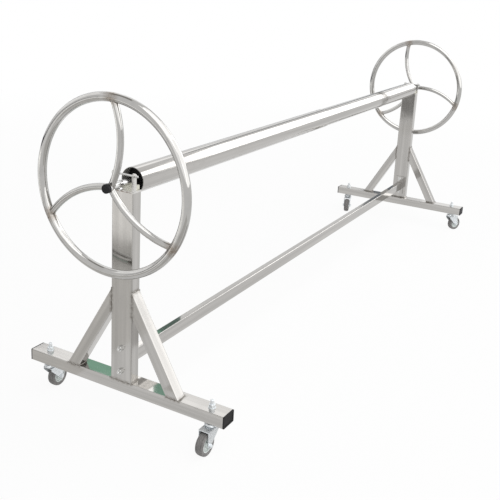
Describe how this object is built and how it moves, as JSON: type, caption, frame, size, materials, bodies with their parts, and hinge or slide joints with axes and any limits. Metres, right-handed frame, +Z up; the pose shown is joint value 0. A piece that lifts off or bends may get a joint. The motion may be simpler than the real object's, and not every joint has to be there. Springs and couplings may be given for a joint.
{
  "type": "pool cover reel",
  "caption": "Wheeled pool cover reel: long horizontal roller on A-shaped tube frames with a large handwheel at each end, a low crossbar and swivel casters",
  "frame": {"origin": "on the floor under the tyres, midway between the two handwheels and under the roller axis", "axes": "+X along the roller from the larger tube's end to the smaller tube's end, +Y across the feet, +Z up"},
  "size_m": [2.924, 0.77, 1.0799],
  "materials": {
    "tube_steel": "satin, mirror-like along the flats",
    "wheel_steel": "polished",
    "bolt_steel": "machined",
    "zinc": "zinc plated",
    "black_plastic": "moulded, fine grain",
    "tyre_rubber": "soft, dull",
    "core_plastic": "moulded",
    "bearing_plastic": "plain, slightly waxy"
  },
  "bodies": {
    "frame": {"left_foot": "tube_steel", "left_post": "tube_steel", "left_brace_front": "tube_steel", "left_brace_back": "tube_steel", "left_saddle": "tube_steel", "left_flange": "tube_steel", "left_cap_front": "black_plastic", "left_cap_back": "black_plastic", "left_cradle": "bearing_plastic", "right_foot": "tube_steel", "right_post": "tube_steel", "right_brace_front": "tube_steel", "right_brace_back": "tube_steel", "right_saddle": "tube_steel", "right_flange": "tube_steel", "right_cap_front": "black_plastic", "right_cap_back": "black_plastic", "right_cradle": "bearing_plastic", "crossbar": "tube_steel", "keeper_bolts": "bolt_steel", "keeper_nuts": "bolt_steel", "flange_bolts": "bolt_steel", "flange_nuts": "bolt_steel", "stud_nuts": "zinc", "stud_washers": "zinc", "caster_lf_stem": "zinc", "caster_lb_stem": "zinc", "caster_rf_stem": "zinc", "caster_rb_stem": "zinc"},
    "roller": {"outer_tube": "tube_steel", "inner_tube": "tube_steel", "left_plug": "black_plastic", "left_axle": "wheel_steel", "left_hub": "wheel_steel", "left_rim": "wheel_steel", "left_spokes": "wheel_steel", "left_hub_cap": "black_plastic", "right_plug": "black_plastic", "right_axle": "wheel_steel", "right_hub": "wheel_steel", "right_rim": "wheel_steel", "right_spokes": "wheel_steel", "right_hub_cap": "black_plastic", "hub_screws": "bolt_steel"},
    "lf_swivel": {"caster_lf_fork": "zinc", "caster_lf_pin": "zinc"},
    "lf_wheel": {"caster_lf_tyre": "tyre_rubber", "caster_lf_core": "core_plastic"},
    "lb_swivel": {"caster_lb_fork": "zinc", "caster_lb_pin": "zinc"},
    "lb_wheel": {"caster_lb_tyre": "tyre_rubber", "caster_lb_core": "core_plastic"},
    "rf_swivel": {"caster_rf_fork": "zinc", "caster_rf_pin": "zinc"},
    "rf_wheel": {"caster_rf_tyre": "tyre_rubber", "caster_rf_core": "core_plastic"},
    "rb_swivel": {"caster_rb_fork": "zinc", "caster_rb_pin": "zinc"},
    "rb_wheel": {"caster_rb_tyre": "tyre_rubber", "caster_rb_core": "core_plastic"}
  },
  "joints": [
    {"name": "roller_spin", "type": "hinge", "parent": "frame", "child": "roller", "pos_m": [0, 0, 0.8], "axis": [1, 0, 0], "continuous": true},
    {"name": "lf_swivel_turn", "type": "hinge", "parent": "frame", "child": "lf_swivel", "pos_m": [-1.35, -0.325, 0.085], "axis": [0, 0, 1], "continuous": true},
    {"name": "lf_wheel_roll", "type": "hinge", "parent": "lf_swivel", "child": "lf_wheel", "pos_m": [-1.38399, -0.32441, 0.0375], "axis": [-0.0174, -0.9998, 0], "continuous": true},
    {"name": "lb_swivel_turn", "type": "hinge", "parent": "frame", "child": "lb_swivel", "pos_m": [-1.35, 0.325, 0.085], "axis": [0, 0, 1], "continuous": true},
    {"name": "lb_wheel_roll", "type": "hinge", "parent": "lb_swivel", "child": "lb_wheel", "pos_m": [-1.31602, 0.32619, 0.0375], "axis": [-0.0349, 0.9994, 0], "continuous": true},
    {"name": "rf_swivel_turn", "type": "hinge", "parent": "frame", "child": "rf_swivel", "pos_m": [1.35, -0.325, 0.085], "axis": [0, 0, 1], "continuous": true},
    {"name": "rf_wheel_roll", "type": "hinge", "parent": "rf_swivel", "child": "rf_wheel", "pos_m": [1.37944, -0.342, 0.0375], "axis": [0.5, 0.866, 0], "continuous": true},
    {"name": "rb_swivel_turn", "type": "hinge", "parent": "frame", "child": "rb_swivel", "pos_m": [1.35, 0.325, 0.085], "axis": [0, 0, 1], "continuous": true},
    {"name": "rb_wheel_roll", "type": "hinge", "parent": "rb_swivel", "child": "rb_wheel", "pos_m": [1.31716, 0.3162, 0.0375], "axis": [0.2588, -0.9659, 0], "continuous": true}
  ]
}
